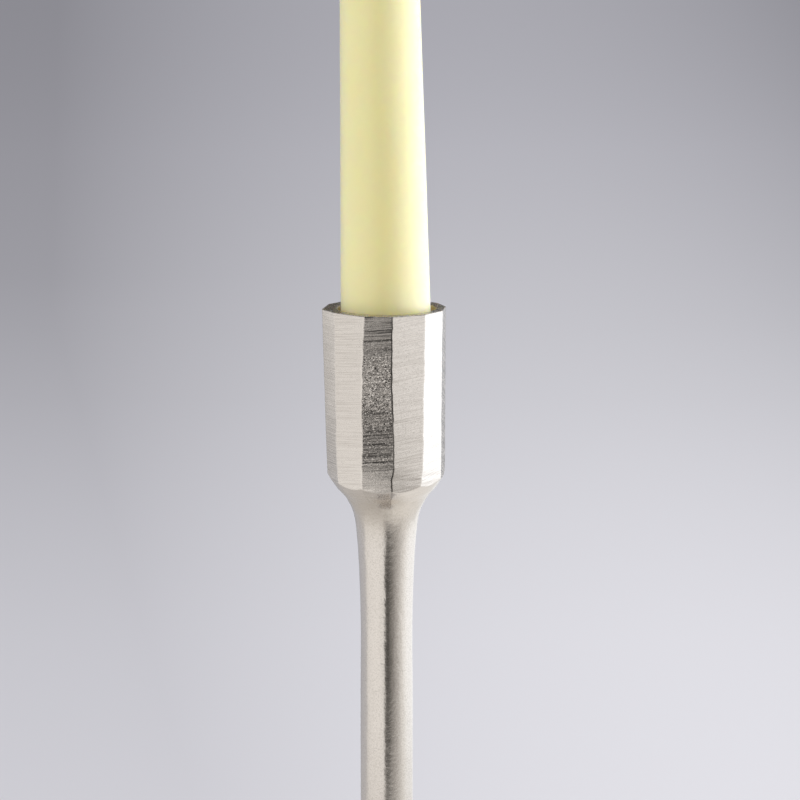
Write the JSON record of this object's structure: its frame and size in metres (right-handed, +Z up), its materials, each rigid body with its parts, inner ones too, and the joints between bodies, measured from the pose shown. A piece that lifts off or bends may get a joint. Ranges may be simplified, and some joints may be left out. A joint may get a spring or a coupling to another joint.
{
  "type": "candlestick",
  "caption": "Tall cast-metal candlestick: ground twelve-sided cup on a slender round stem and a weighted, faceted foot, holding a lift-out taper candle.",
  "frame": {"origin": "centre of the underside of the felt pad, on the axis of the stem and the socket", "axes": "+Z up along the stem, +X to the right and -Y towards the viewer when the narrow dark side of the cup faces front"},
  "size_m": [0.1064, 0.1067, 0.5375],
  "materials": {
    "nickel_casting": "satin",
    "nickel_foot": "satin",
    "ballast_iron": "matte",
    "stud_steel": "satin",
    "washer_steel": "satin",
    "spring_steel": "satin",
    "nut_steel": "satin",
    "felt": "matte",
    "wax": "satin",
    "wick_cotton": "matte"
  },
  "bodies": {
    "holder": {"socket_stem": "nickel_casting", "foot": "nickel_foot", "ballast": "ballast_iron", "stud": "stud_steel", "washer": "washer_steel", "spring_washer": "spring_steel", "nut": "nut_steel", "felt_pad": "felt"},
    "candle": {"candle": "wax", "wick": "wick_cotton"}
  },
  "joints": [
    {"name": "candle_lift", "type": "slide", "parent": "holder", "child": "candle", "axis": [0, 0, 1], "range_m": [0, 0.04]}
  ]
}
